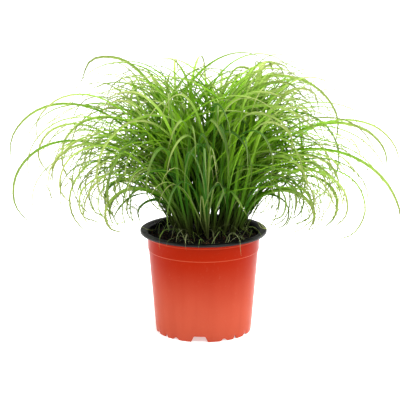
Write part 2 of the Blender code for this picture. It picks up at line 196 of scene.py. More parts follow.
# The soft lights: name, place, size, and power as a share of the key light's.
LIGHTS = (
    ("key", (0.8, -1.2, 1.5), (0.9, 0.7), 1.0),
    ("top", (0.1, 0.1, 1.7), (1.2, 1.2), 0.9),
    ("side", (1.0, 0.9, 0.9), (0.8, 0.8), 1.0),
    ("fill", (-1.4, -0.5, 0.8), (0.8, 0.8), 0.42),
)


# ---- values that a user may change


COLOUR = {"size": 3, "subtype": "COLOR", "min": 0, "max": 1}
LENGTH = {"unit": "LENGTH", "subtype": "DISTANCE"}


class PotLook(bpy.types.PropertyGroup):
    columns: IntProperty(
        name="Columns", description="Faces round the pot", default=288, min=64, max=720
    )
    outside: FloatVectorProperty(
        name="Outside", description="Colour of the outer layer of plastic",
        default=(0.305, 0.0120, 0.0002), **COLOUR,
    )
    inside: FloatVectorProperty(
        name="Inside", description="Colour of the inner layer and the brim",
        default=(0.0025, 0.0025, 0.003), **COLOUR,
    )
    rounding: FloatProperty(
        name="Rounding", description="Radius of the brim's outer edges",
        default=0.9 * MM, min=0.1 * MM, max=1.4 * MM, **LENGTH,
    )


class SoilLook(bpy.types.PropertyGroup):
    colour: FloatVectorProperty(
        name="Peat", description="Colour of the moist peat",
        default=(0.0035, 0.0024, 0.0017), **COLOUR,
    )
    crumb_density: FloatProperty(
        name="Crumb density", description="Crumbs on a square metre of soil",
        default=260000.0, min=0, max=900000,
    )
    crumb_size: FloatProperty(
        name="Crumb size", description="Usual radius of a crumb",
        default=0.75 * MM, min=0.2 * MM, max=2 * MM, **LENGTH,
    )


class GrassLook(bpy.types.PropertyGroup):
    leaves: IntProperty(
        name="Finer leaves", description="Finer leaves grown from each shoot",
        default=15, min=0, max=40,
    )
    rings: IntProperty(
        name="Rings", description="Sections along a leaf", default=34, min=8, max=80
    )
    fold: FloatProperty(
        name="Fold", description="Depth of a leaf's fold, as a share of its width",
        default=0.34, min=0, max=0.6,
    )
    thickness: FloatProperty(
        name="Thickness", description="Thickness at the fold, as a share of the width",
        default=0.12, min=0.03, max=0.4,
    )
    deep: FloatVectorProperty(
        name="Deep green", description="Colour of the darkest leaves",
        default=(0.003, 0.088, 0.0005), **COLOUR,
    )
    fresh: FloatVectorProperty(
        name="Fresh green", description="Colour of the brightest leaves",
        default=(0.350, 0.680, 0.010), **COLOUR,
    )
    tip: FloatVectorProperty(
        name="Tips", description="Colour towards the tips",
        default=(0.66, 0.65, 0.29), **COLOUR,
    )
    wisp: FloatVectorProperty(
        name="Wisps", description="Colour of the thinnest curled leaves",
        default=(0.14, 0.165, 0.05), **COLOUR,
    )
    sheath: FloatVectorProperty(
        name="Sheath", description="Colour of the leaf bases at the soil",
        default=(0.10, 0.10, 0.03), **COLOUR,
    )
    straw: FloatVectorProperty(
        name="Straw", description="Colour of the dry blades on the soil",
        default=(0.32, 0.36, 0.16), **COLOUR,
    )


class StudioLook(bpy.types.PropertyGroup):
    floor: FloatVectorProperty(
        name="Floor", description="Colour of the pale floor",
        default=(0.93, 0.93, 0.93), **COLOUR,
    )
    surround: FloatProperty(
        name="Surround", description="Brightness of the white surround behind", default=1.1,
        min=0, max=4,
    )
    front: FloatProperty(
        name="Front", description="Brightness of the surround in front", default=0.15, min=0, max=4
    )
    key_light: FloatProperty(
        name="Key light", description="Power of the large light above and in front",
        default=25.0, min=0, unit="POWER",
    )
    glow: FloatProperty(
        name="Floor glow", description="Light that comes through the white floor from below",
        default=0.5, min=0, max=2,
    )
    distance: FloatProperty(
        name="Camera distance", description="From the camera to the middle of the brim",
        default=1.8, min=0.5, **LENGTH,
    )
    elevation: FloatProperty(
        name="Camera elevation", description="Above the middle of the brim",
        default=math.radians(14.6), subtype="ANGLE",
    )


class GrassSettings(bpy.types.PropertyGroup):
    pot: PointerProperty(type=PotLook)
    soil: PointerProperty(type=SoilLook)
    grass: PointerProperty(type=GrassLook)
    studio: PointerProperty(type=StudioLook)


# ---- nodes


def by_node(operation, reflected=False):
    """A method that adds a Math node, with the other number first if it is a reflected form."""

    def method(self, *others):
        inputs = dict(enumerate((*others, self) if reflected else (self, *others)))
        return self.nodes.add("ShaderNodeMath", inputs, operation=operation)

    return method


class Signal:
    """A number that a node gives out. Sums on it add Math nodes to its tree."""

    def __init__(self, nodes, socket):
        self.nodes, self.socket = nodes, socket

    __add__, __radd__ = by_node("ADD"), by_node("ADD", reflected=True)
    __sub__, __rsub__ = by_node("SUBTRACT"), by_node("SUBTRACT", reflected=True)
    __mul__, __rmul__ = by_node("MULTIPLY"), by_node("MULTIPLY", reflected=True)
    __truediv__, __rtruediv__ = by_node("DIVIDE"), by_node("DIVIDE", reflected=True)
    __gt__, __lt__ = by_node("GREATER_THAN"), by_node("LESS_THAN")
    __abs__, sine, cosine = by_node("ABSOLUTE"), by_node("SINE"), by_node("COSINE")
    root = by_node("SQRT")

    def ramp(self, low, high, start=0.0, end=1.0):
        """Rises smoothly from start to end as the number goes from low to high."""
        inputs = {0: self, 1: low, 2: high, 3: start, 4: end}
        return self.nodes.add("ShaderNodeMapRange", inputs, interpolation_type="SMOOTHSTEP")


class Nodes:
    """A node tree that one method fills."""

    def __init__(self, tree, material=None):
        self.tree, self.material = tree, material

    def add(self, kind, inputs=None, out=0, stops=None, **settings):
        """Adds a node with these settings and inputs, and returns one of its outputs."""
        node = self.tree.nodes.new(kind)
        for name, value in settings.items():
            setattr(node, name, value)
        if stops:
            ramp = node.color_ramp.elements
            ramp.remove(ramp[1])
            ramp[0].position, ramp[0].color = stops[0][0], (*stops[0][1], 1)
            for place, colour in stops[1:]:
                ramp.new(place).color = (*colour, 1)
        for key, value in (inputs or {}).items():
            self.feed(node.inputs[key], value)
        return Signal(self, node.outputs[out]) if len(node.outputs) else node

    def feed(self, socket, value):
        if isinstance(value, Signal):
            self.tree.links.new(value.socket, socket)
        else:
            socket.default_value = value

    def number(self, name):
        """A number kept on the piece's own points."""
        return self.add("ShaderNodeAttribute", out="Fac", attribute_name=name)

    def place(self, axis):
        """The piece's own coordinate along an axis, in metres."""
        where = self.add("ShaderNodeTexCoord", out="Object")
        return self.add("ShaderNodeSeparateXYZ", {0: where}, out=axis)

    def grain(self, scale, detail=3.0, roughness=0.55, stretch=(1, 1, 1)):
        """Noise from 0 to 1 in the piece's own metres. Scale is in waves to a metre."""
        where = self.add("ShaderNodeTexCoord", out="Object")
        where = self.add("ShaderNodeMapping", {"Vector": where, "Scale": stretch})
        inputs = {"Vector": where, "Scale": scale, "Detail": detail, "Roughness": roughness}
        return self.add("ShaderNodeTexNoise", inputs)

    def mix(self, factor, first, second):
        """A colour between two colours."""
        first, second = (c if isinstance(c, Signal) else (*c, 1) for c in (first, second))
        inputs = {0: factor, 6: first, 7: second}
        return self.add("ShaderNodeMix", inputs, out=2, data_type="RGBA")

    def layers(self, colour, *layers):
        """A colour with others laid over it, each as far as the factor before it says."""
        for factor, other in layers:
            colour = self.mix(factor, colour, other)
        return colour

    def bump(self, height, distance, strength):
        inputs = {"Height": height, "Distance": distance, "Strength": strength}
        return self.add("ShaderNodeBump", inputs)

    def store(self, geometry, name, value, kind, domain):
        """Keeps a value on a geometry under a name."""
        inputs = {"Geometry": geometry, "Name": name, "Value": value}
        return self.add("GeometryNodeStoreNamedAttribute", inputs, data_type=kind, domain=domain)


def new_material(name):
    """The nodes of a new material."""
    material = bpy.data.materials.new(name)
    material.use_nodes = True
    material.node_tree.nodes.clear()
    return Nodes(material.node_tree, material)


def surface(nodes, inputs, specular, through=None):
    """Ends a material in a Principled shader, which may let light through. Returns the material."""
    shade = nodes.add("ShaderNodeBsdfPrincipled", {**inputs, "Specular IOR Level": specular})
    if through:
        colour, share = through
        behind = nodes.add("ShaderNodeBsdfTranslucent", {"Color": (*colour, 1)})
        shade = nodes.add("ShaderNodeMixShader", {0: share, 1: shade, 2: behind})
    nodes.add("ShaderNodeOutputMaterial", {"Surface": shade})
    return nodes.material


def new_tree(name, **inputs):
    """An empty geometry tree with these named inputs after its geometry."""
    tree = bpy.data.node_groups.new(name, "GeometryNodeTree")
    tree.interface.new_socket("Geometry", in_out="OUTPUT", socket_type="NodeSocketGeometry")
    tree.interface.new_socket("Geometry", in_out="INPUT", socket_type="NodeSocketGeometry")
    for title, kind in inputs.items():
        tree.interface.new_socket(title, in_out="INPUT", socket_type=f"NodeSocket{kind}")
    nodes = Nodes(tree)
    entry = nodes.add("NodeGroupInput").socket.node
    given = {s.name: Signal(nodes, s) for s in entry.outputs if s.name}
    return nodes, given


def end_tree(nodes, geometry, material):
    """Makes what the tree has built real, and gives it its material."""
    solid = nodes.add("GeometryNodeRealizeInstances", {"Geometry": geometry})
    solid = nodes.add("GeometryNodeSetMaterial", {"Geometry": solid, "Material": material})
    nodes.add("NodeGroupOutput", {"Geometry": solid})


def placed(name, data):
    """An object of this name that shows a mesh, a light or a camera."""
    data.name = name
    obj = bpy.data.objects.new(name, data)
    bpy.context.scene.collection.objects.link(obj)
    return obj


def built(bm, name):
    """A mesh object of what a bmesh holds, which it uses up."""
    mesh = bpy.data.meshes.new(name)
    bm.to_mesh(mesh)
    bm.free()
    return placed(name, mesh)


def applied(source, name):
    """The plain mesh object that an object's modifiers make of it. It uses the object up."""
    seen = source.evaluated_get(bpy.context.evaluated_depsgraph_get())
    mesh = bpy.data.meshes.new_from_object(seen)
    bpy.data.objects.remove(source, do_unlink=True)
    return placed(name, mesh)


def grown(source, tree, name, **values):
    """The plain mesh object that a geometry tree makes from a source object, which it uses up."""
    modifier = source.modifiers.new("grow", "NODES")
    modifier.node_group = tree
    for item in tree.interface.items_tree:
        if item.in_out == "INPUT" and item.name in values:
            modifier[item.identifier] = values[item.name]
    return applied(source, name)


def finish_piece(obj, slot, *nodes):
    """Ties a piece to the plant's one body and hides the solids it stands for. Its material slot is
    not used.
    """
    if not len(obj.data.polygons):
        raise RuntimeError(f"{obj.name} has no faces")
    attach(obj, BODY)
    if nodes:
        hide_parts(*nodes)


# ---- pot


def rounded(corners, steps=4):
    """(radius, height) points along a section with eased (radius, height, rounding) corners."""
    made = []
    for i, (radius, height, ease) in enumerate(corners):
        if not ease:
            made.append((radius, height))
            continue
        here = Vector((radius, height))
        before = (Vector(corners[i - 1][:2]) - here).normalized() * ease
        after = (Vector(corners[i + 1][:2]) - here).normalized() * ease
        for step in range(steps + 1):
            t = step / steps
            spot = here + before * (1 - t) ** 2 + after * t**2
            made.append((spot.x, spot.y))
    return made


def turned(bm, section, columns):
    """Rows of vertices round Z for each (radius, height). A radius of 0 gives one vertex."""
    rows = []
    for radius, height in section:
        if radius == 0:
            rows.append([bm.verts.new((0, 0, height))])
            continue
        turns = [math.tau * i / columns - math.pi / 2 for i in range(columns)]
        rows.append(
            [bm.verts.new((radius * math.cos(t), radius * math.sin(t), height)) for t in turns]
        )
    return rows


def skin(bm, rows, material=0):
    """Faces between each row of vertices and the next."""
    for low, high in zip(rows, rows[1:]):
        count = max(len(low), len(high))
        for i in range(count):
            j = (i + 1) % count
            if len(low) == 1:
                corners = (low[0], high[j], high[i])
            elif len(high) == 1:
                corners = (low[i], low[j], high[0])
            else:
                corners = (low[i], low[j], high[j], high[i])
            bm.faces.new(corners).material_index = material


def notch_rise(x, y):
    """How far the foot is raised at a heading, for its notches."""
    turned_by = math.atan2(y, x) - math.radians(POT_TURN)
    heading = math.degrees(math.atan2(abs(math.cos(turned_by)), abs(math.sin(turned_by))))
    rise = 0.0
    for centre, low, high, height in NOTCHES:
        away = abs(heading - centre)
        rise = max(rise, height * min(1.0, max(0.0, (low - away) / (low - high))))
    return rise


def pot_section(rounding):
    """The shell's outer layer from under its middle to the lip, and the inner layer back again."""
    brim_inner = RIM_RADIUS - BRIM_WIDTH
    brim_under = POT_TOP - WALL
    foot_inner = BASE_RADIUS - FOOT_WIDTH
    outer = (
        (0, FOOT_DEPTH, 0),
        (foot_inner + 1.2 * MM, FOOT_DEPTH, 0.4 * MM),
        (foot_inner + 2.2 * MM, 0, 0.3 * MM),
        (BASE_RADIUS - 0.2 * MM, 0, 0.4 * MM),
        (BASE_RADIUS + 0.55 * MM, FOOT_DEPTH, 0.3 * MM),
        (LEDGE_RADIUS + 0.1 * MM, LEDGE_HEIGHT, 0.2 * MM),
        (LEDGE_RADIUS + LEDGE_STEP + 0.2 * MM, LEDGE_HEIGHT + 0.5 * MM, 0.15 * MM),
        (brim_inner - 0.55 * MM, brim_under - 5.0 * MM, 0.2 * MM),
        (brim_inner - 0.05 * MM, brim_under - 4.6 * MM, 0.2 * MM),
        (brim_inner + 0.3 * MM, brim_under - 1.2 * MM, 0.3 * MM),
        (brim_inner + 1.4 * MM, brim_under, 0.5 * MM),
        (RIM_RADIUS - WALL, brim_under, 0.3 * MM),
        (RIM_RADIUS - WALL, POT_TOP - LIP_DEPTH, 0),
    )
    inner = (
        (RIM_RADIUS - WALL, POT_TOP - LIP_DEPTH, 0),
        (RIM_RADIUS, POT_TOP - LIP_DEPTH, 0.35 * MM),
        (RIM_RADIUS, POT_TOP, rounding),
        (brim_inner + 0.6 * MM, POT_TOP, 0.9 * MM),
        (brim_inner - 1.0 * MM, POT_TOP - 1.8 * MM, 0.6 * MM),
        (LEDGE_RADIUS - 0.8 * WALL, LEDGE_HEIGHT, 1 * MM),
        (BASE_RADIUS - 1.9 * WALL, FOOT_DEPTH, 0.6 * MM),
        (foot_inner - WALL, FOOT_DEPTH + WALL, 0.3 * MM),
        (0, FOOT_DEPTH + WALL, 0),
    )
    return rounded(outer), rounded(inner)


def terracotta_plastic(look):
    """Thin glossy plastic: vertical drawing marks, painted highlights on the two ledges, and painted
    floor light that makes it paler low down.
    """
    nodes = new_material("terracotta_plastic")
    base, high = Vector(look.outside), nodes.place("Z")
    draw = nodes.grain(90, 2.0, stretch=(1, 1, 0.04))
    # Painted light from the floor: the wall is paler low down, so that its top looks shaded.
    painted_floor_light = (high + nodes.grain(26, 2.0) * 10 * MM).ramp(20 * MM, 90 * MM, 1, 0)
    # Painted highlights: thin pale lines along the ledge and along the fine step under the brim.
    highlight_lines = ((LEDGE_HEIGHT + 0.4 * MM, 0.34), (POT_TOP - 5.8 * MM, 0.16))
    painted_highlights = (abs(high - line).ramp(0.3 * MM, 0.7 * MM, share, 0) for line, share in highlight_lines)
    colour = nodes.layers(
        base,
        (painted_floor_light, base * 1.52 + Vector((0.0, 0.058, 0.038))),
        (draw.ramp(0.35, 0.75, 0, 0.12), base * 0.80),
        *((factor, (0.60, 0.13, 0.06)) for factor in painted_highlights),
        (nodes.grain(420, 4.0).ramp(0.58, 0.80, 0, 0.08), (0.50, 0.22, 0.15)),
    )
    inputs = {
        "Base Color": colour,
        "Roughness": nodes.grain(160).ramp(0.3, 0.75, 0.30, 0.40),
        "Normal": nodes.bump(nodes.grain(900, 2.0) * 0.35 + draw, 0.04 * MM, 0.35),
        "Sheen Weight": 0.26,
        "Sheen Roughness": 0.25,
    }
    return surface(nodes, inputs, 0.03)


def black_plastic(look):
    """The inner layer: dull black with soil dust on it, and polished along the brim's edge."""
    nodes = new_material("black_plastic")
    dust = nodes.grain(300, 5.0, 0.65).ramp(0.52, 0.78, 0, 0.5)
    x, y = nodes.place("X"), nodes.place("Y")
    radius = (x * x + y * y).root()
    inputs = {
        "Base Color": nodes.mix(dust, look.inside, (0.009, 0.0075, 0.0065)),
        "Roughness": nodes.grain(220).ramp(0.3, 0.7, 0.28, 0.42),
        "Normal": nodes.bump(nodes.grain(1100), 0.05 * MM, 0.5),
        "Coat Weight": radius.ramp(RIM_RADIUS - 1.6 * MM, RIM_RADIUS - 0.9 * MM, 0, 0.4),
        "Coat Roughness": 0.3,
    }
    return surface(nodes, inputs, 0.02)


class GRASS_OT_pot(bpy.types.Operator):
    """Makes the nursery pot: a terracotta outside, a black inside and brim, and a notched foot"""

    bl_idname = "grass.make_pot"
    bl_label = "Make pot"

    def execute(self, context):
        look = context.scene.potted_grass.pot
        outer, inner = pot_section(look.rounding)
        bm = bmesh.new()
        rows = turned(bm, outer, look.columns)
        more = turned(bm, inner[1:], look.columns)
        skin(bm, rows, 0)
        skin(bm, [rows[-1], *more], 1)
        for vert in bm.verts:
            if vert.co.z < 0.5 * FOOT_DEPTH and vert.co.xy.length > 0.5 * BASE_RADIUS:
                vert.co.z += notch_rise(vert.co.x, vert.co.y) * (1 - vert.co.z / FOOT_DEPTH)
        bmesh.ops.recalc_face_normals(bm, faces=bm.faces)
        shell = built(bm, "pot_shell")
        shell.data.materials.append(terracotta_plastic(look))
        shell.data.materials.append(black_plastic(look))
        drill = bmesh.new()
        for index in range(DRAIN_HOLES):
            turn = math.tau * (index + 0.5) / DRAIN_HOLES
            made = bmesh.ops.create_cone(
                drill, cap_ends=True, segments=32, radius1=DRAIN_HOLE_RADIUS,
                radius2=DRAIN_HOLE_RADIUS, depth=4 * WALL,
            )
            at = Vector((math.cos(turn), math.sin(turn), 0)) * DRAIN_CIRCLE_RADIUS
            at.z = FOOT_DEPTH + WALL / 2
            bmesh.ops.translate(drill, verts=made["verts"], vec=at)
        cutter = built(drill, "drill")
        cutter.data.materials.append(shell.data.materials[1])
        cut = shell.modifiers.new("drain_holes", "BOOLEAN")
        cut.operation, cut.solver, cut.object = "DIFFERENCE", "EXACT", cutter
        pot = applied(shell, "nursery_pot")
        bpy.data.objects.remove(cutter, do_unlink=True)
        pot.data.shade_smooth()
        pot.data.set_sharp_from_angle(angle=POT_SHARP)
        finish_piece(pot, "pot_plastic", "pot")
        return {"FINISHED"}


# ---- soil


def soil_height(x, y):
    """The soil's surface: a low mound with slow lumps, as on its solid."""
    inward = 1 - min(1.0, math.hypot(x, y) / (RIM_RADIUS - BRIM_WIDTH))
    lumps = math.sin(190 * x + 1.1) * math.cos(160 * y - 0.4) + 0.6 * math.sin(310 * y + 250 * x)
    return SOIL_LEVEL + SOIL_MOUND * inward + SOIL_LUMPS * lumps


def inner_radius(height):
    """The pot's inside radius at a height above its floor."""
    low, high = BASE_RADIUS - 1.9 * WALL, LEDGE_RADIUS - 0.8 * WALL
    return low + (high - low) * (height - FOOT_DEPTH) / (LEDGE_HEIGHT - FOOT_DEPTH)


def peat(look):
    """Moist peat with browner patches and fine fibre."""
    nodes = new_material("peat")
    base = Vector(look.colour)
    colour = nodes.layers(
        base * 0.5,
        (nodes.grain(130, 5.0, 0.65).ramp(0.40, 0.66), base * 1.8),
        (nodes.grain(420, 4.0).ramp(0.60, 0.74, 0, 0.6), (0.034, 0.015, 0.008)),
    )
    normal = nodes.bump(nodes.grain(700, 6.0, 0.7), 0.5 * MM, 0.9)
    return surface(nodes, {"Base Color": colour, "Roughness": 0.93, "Normal": normal}, 0.1)


def crumb_finish(look):
    """Crumbs of peat and bark, each a shade of its own, from black to brown."""
    nodes = new_material("crumbs")
    base = Vector(look.colour)
    stops = (
        (0.0, base * 0.45),
        (0.62, base * 1.3),
        (0.86, (0.040, 0.017, 0.008)),
        (1.0, (0.13, 0.065, 0.032)),
    )
    shade = nodes.add("ShaderNodeValToRGB", {"Fac": nodes.number("tone")}, stops=stops)
    colour = nodes.mix(nodes.grain(900).ramp(0.45, 0.7, 0, 0.5), shade, base * 0.4)
    normal = nodes.bump(nodes.grain(2500), 0.1 * MM, 0.8)
    return surface(nodes, {"Base Color": colour, "Roughness": 0.9, "Normal": normal}, 0.1)


def soil_body(name, columns, rings, rough, top_only=False):
    """The plug of soil, with a rough top, or its top alone."""
    bottom = FOOT_DEPTH + WALL + GAP
    edge = inner_radius(SOIL_LEVEL) - 2 * GAP
    section = [] if top_only else [(0, bottom), (inner_radius(bottom) - 2 * GAP, bottom)]
    section += [(edge * (1 - i / rings), SOIL_LEVEL) for i in range(rings)] + [(0, SOIL_LEVEL)]
    bm = bmesh.new()
    skin(bm, turned(bm, section, columns))
    for vert in bm.verts:
        if vert.co.z > SOIL_LEVEL - GAP:
            x, y, _ = vert.co
            broken = noise.fractal(vert.co * 260, 1.0, 2.1, 4) * rough
            vert.co.z = soil_height(x, y) + broken
    bmesh.ops.recalc_face_normals(bm, faces=bm.faces)
    body = built(bm, name)
    body.data.shade_smooth()
    return body


def crumb_tree():
    """Scatters lumps over a surface. Each is turned, stretched and dented in its own way."""
    nodes, given = new_tree(
        "crumbs", Density="Float", Size="Float", Seed="Int", Material="Material"
    )
    spots = nodes.add(
        "GeometryNodeDistributePointsOnFaces",
        {"Mesh": given["Geometry"], "Density": given["Density"], "Seed": given["Seed"]},
    )

    def drawn(low, high, seed):
        inputs = {0: low, 1: high, 8: seed}
        return nodes.add("FunctionNodeRandomValue", inputs, data_type="FLOAT_VECTOR")

    def scaled(vector, size):
        inputs = {0: vector, "Scale": size}
        return nodes.add("ShaderNodeVectorMath", inputs, operation="SCALE")

    turn = drawn((0, 0, 0), (math.tau, math.tau, math.tau), given["Seed"])
    bulk = drawn((0.35, 0.3, 0.25), (1.5, 1.0, 0.8), given["Seed"] + 1)
    lump = nodes.add("GeometryNodeMeshIcoSphere", {"Radius": 1.0, "Subdivisions": 2})
    inputs = {"Points": spots, "Instance": lump, "Rotation": turn}
    inputs["Scale"] = scaled(bulk, given["Size"])
    lumps = nodes.add("GeometryNodeInstanceOnPoints", inputs)
    tone = nodes.add("FunctionNodeRandomValue", {2: 0.0, 3: 1.0, 8: 5}, out=1, data_type="FLOAT")
    lumps = nodes.store(lumps, "tone", tone, "FLOAT", "INSTANCE")
    real = nodes.add("GeometryNodeRealizeInstances", {"Geometry": lumps})
    where = nodes.add("GeometryNodeInputPosition")
    dents = nodes.add(
        "ShaderNodeTexNoise", {"Vector": where, "Scale": 900.0, "Detail": 2.0}, out="Color"
    )
    dents = nodes.add("ShaderNodeVectorMath", {0: dents, 1: (0.5, 0.5, 0.5)}, operation="SUBTRACT")
    push = scaled(dents, given["Size"] * 1.5)
    real = nodes.add("GeometryNodeSetPosition", {"Geometry": real, "Offset": push})
    end_tree(nodes, real, given["Material"])
    return nodes.tree


class GRASS_OT_soil(bpy.types.Operator):
    """Makes the plug of peat that fills the pot, and the crumbs that lie on it"""

    bl_idname = "grass.make_soil"
    bl_label = "Make soil"

    def execute(self, context):
        look = context.scene.potted_grass.soil
        soil = soil_body("peat_soil", *SOIL_GRID, SOIL_ROUGHNESS)
        soil.data.materials.append(peat(look))
        finish_piece(soil, "soil", "potting_soil")
        ground = soil_body("ground", *CRUMB_GRID, 0.0, top_only=True)
        crumbs = grown(
            ground, crumb_tree(), "soil_crumbs", Density=look.crumb_density,
            Size=look.crumb_size, Seed=CRUMB_SEED, Material=crumb_finish(look),
        )
        crumbs.data.shade_flat()
        finish_piece(crumbs, "soil")
        return {"FINISHED"}


# ---- leaves


# A leaf to be swept: the points along it and the way that each faces, its full width, its tone, how
# blunt it ends from 0 to 1, and how far up its host it starts.
Leaf = namedtuple("Leaf", "points faces width tone blunt start", defaults=(0,))
Shoot = namedtuple("Shoot", "foot top leaves")


def ways(headings, leans):
    """Unit vectors at headings and leans in degrees, one to a row."""
    turn, slope = np.radians(headings), np.radians(leans)
    flat = np.sin(slope)
    return np.stack([np.cos(turn) * flat, np.sin(turn) * flat, np.cos(slope)], axis=1)


def unit(rows):
    """Each row as a vector of length 1."""
    return rows / np.linalg.norm(rows, axis=1, keepdims=True)


def eased(values):
    """Values from 0 to 1 with a soft start and end."""
    values = np.clip(values, 0, 1)
    return values * values * (3 - 2 * values)


def spun(faces, way, spin):
    """Faces turned about the way that their leaf goes, by an angle for each row."""
    return faces * np.cos(spin) + np.cross(way, faces) * np.sin(spin)


def arched(
    start, stem_way, heading, lean, level, tip_lean, length, sway, spin, weave, waves, phase
):
    """Points along a leaf that gains its lean by a power of its length, and the way each faces."""
    bend = tip_lean - lean
    power = math.log((90 - lean) / bend) / math.log(level)
    steps = max(12, round(length / PATH_STEP))
    shares = np.linspace(0, 1, steps + 1)
    wave = np.sin(math.tau * (waves * shares + phase)) * shares
    leans = lean + bend * shares**power + 3 * wave
    headings = heading + sway * shares**2 + weave * wave
    settled = eased(shares * length / SETTLE_LENGTH)[:, None]
    way = unit(stem_way * (1 - settled) + ways(headings, leans) * settled)
    points = start + np.vstack([np.zeros(3), np.cumsum(way[:-1], axis=0)]) * length / steps
    faces = ways(headings, leans + 90)
    faces = unit(faces - way * (faces * way).sum(axis=1, keepdims=True))
    return points, spun(faces, way, np.radians(spin) * (1.2 - shares)[:, None])


def is_placed_well(points, middle=Vector((0, 0)), reach=1.0, height=1.0):
    """Whether a leaf keeps off the soil and brim and inside the clump's box and its own limits."""
    out, high = np.hypot(points[:, 0], points[:, 1]), points[:, 2]
    back = points[:, 1] - middle.y
    spread = np.hypot(points[:, 0] - middle.x, np.where(back < 0, FRONT_NARROWING * back, back))
    over_soil = out < RIM_RADIUS - BRIM_WIDTH - BRIM_MARGIN
    over_brim = ~over_soil & (out < RIM_RADIUS + BRIM_MARGIN)
    upper = np.arange(len(points)) > len(points) // 3
    fall = np.minimum(0, BACKWARD_FALL * points[:, 1])
    front = np.clip(FRONT_START - points[:, 1], 0, FRONT_CLEARANCE)
    return not (
        (over_soil & upper & (high < SOIL_LEVEL + SOIL_CLEARANCE + front)).any()
        or (over_brim & (high < POT_TOP + BRIM_CLEARANCE + front)).any()
        or (~over_soil & ~over_brim & (high + fall < USUAL_LOWEST)).any()
        or spread.max() > reach
        or (points > OUTER_CORNER).any()
        or (points < INNER_CORNER).any()
        or (high + BACKWARD_FALL * points[:, 1]).max() > height
    )


def curved(points, count):
    """A smooth curve through points, by the Catmull-Rom rule, as count rows."""
    points = np.asarray(points)
    ends = np.vstack([2 * points[0] - points[1], points, 2 * points[-1] - points[-2]])
    places = np.linspace(0, len(points) - 1, count)
    low = np.minimum(places.astype(int), len(points) - 2)
    t = (places - low)[:, None]
    a, b, c, d = (ends[low + i] for i in range(4))
    return 0.5 * (
        2 * b + (c - a) * t + (2 * a - 5 * b + 4 * c - d) * t**2 + (3 * b - a - 3 * c + d) * t**3
    )


def read_shoot(node):
    """The foot and top of a solid shoot's stem and the rings of its leaves, from its mesh.

    The three tips are the points with three edges. The rings of a leaf are found by walking back
    from its tip, three points at a time, to the stem's top.
    """
    bm = bmesh.new()
    bm.from_mesh(node.data)
    bmesh.ops.remove_doubles(bm, verts=bm.verts, dist=MERGE_DISTANCE)
    lowest = sorted(bm.verts, key=lambda v: v.co.z)[:3]
    foot = sum((v.co for v in lowest), Vector()) / 3
    leaves = []
    for tip in (v for v in bm.verts if len(v.link_edges) == 3):
        seen, front, rings = {tip}, {tip}, [[tip.co.copy()] * 3]
        for _ in range(7):
            front = {e.other_vert(v) for v in front for e in v.link_edges} - seen
            front -= set(lowest)
            seen |= front
            rings.append([v.co.copy() for v in sorted(front, key=lambda v: v.index)])
        leaves.append(rings[::-1])
    bm.free()
    if len(leaves) != 3 or any(len(ring) != 3 for leaf in leaves for ring in leaf):
        raise RuntimeError(f"{node.name} can't be read as three leaves")
    tops = [sum(leaf[0], Vector()) / 3 for leaf in leaves]
    top = sum(tops, Vector()) / 3
    return Shoot(foot, top, leaves)


def ring_facing(ring):
    """The way that a leaf's section faces: from its ridge to the middle of its two edges."""
    best = max(range(3), key=lambda i: (ring[i] - ring[i - 1]).length)
    middle, ridge = (ring[best] + ring[best - 1]) / 2, ring[best - 2]
    return (middle - ridge).normalized(), (ring[best] - ring[best - 1]).length


def leaf_tone(points, middle, draw):
    """A tone from about 0 to 1. Leaves that end high up or far out are the paler ones."""
    end = points[-1]
    away = math.hypot(end[0] - middle.x, max(0, end[1] - middle.y)) / PALE_REACH
    high = max(0, (end[2] - PALE_START) / PALE_SPAN)
    return draw.uniform(*PLAIN_TONES) + PALE_GAIN * min(1, away + high)


def main_leaf(shoot, rings, middle, draw):
    """The smooth leaf that follows one leaf of the solid shoot, from inside its stem."""
    centres = [sum(ring, Vector()) / 3 for ring in rings]
    facing = [ring_facing(ring) for ring in rings[1:-1]]
    faces = [facing[0][0], *(f for f, _ in facing), facing[-1][0]]
    length = sum((b - a).length for a, b in zip(centres, centres[1:]))
    count = max(24, round(length / PATH_STEP))
    start = shoot.foot.lerp(shoot.top, 0.35) + (centres[0] - shoot.top) * 0.7
    points = np.vstack([[start], curved(centres, count)])
    faces = unit(np.vstack([[faces[0]], curved(faces, count)]))
    way = unit(np.gradient(points, axis=0))
    spin = math.radians(draw.choice((-1, 1)) * draw.uniform(*MAIN_SPINS))
    spin = spin * eased(np.linspace(-0.2, 1.3, len(points)))[:, None]
    faces = unit(spun(faces, way, spin))
    width = max(w for _, w in facing) * draw.uniform(*MAIN_WIDTHS)
    return Leaf(points, faces, width, leaf_tone(points, middle, draw), blunt=0.75)


def companion(leaf, draw):
    """A slimmer leaf beside a long one: a little shorter, turned aside and tilted. Or None."""
    start = leaf.points[0]
    for _ in range(COMPANION_TRIES):
        turn = math.radians(draw.uniform(*COMPANION_TURNS))
        size = draw.uniform(*COMPANION_SIZES)
        far = leaf.points[len(leaf.points) // 2] - start
        level = Vector((-far[1], far[0], 0)).normalized()
        tilt = Matrix.Rotation(math.radians(draw.uniform(*COMPANION_TILTS)), 3, level)
        across = np.array(Matrix.Rotation(turn, 3, "Z") @ tilt)
        points = start + (leaf.points - start) @ across.T * size
        if is_placed_well(points):
            width, tone = draw.uniform(*COMPANION_WIDTHS) * MM, draw.uniform(*COMPANION_TONES)
            return Leaf(points, leaf.faces @ across.T, width, tone, blunt=0.5)
    return None


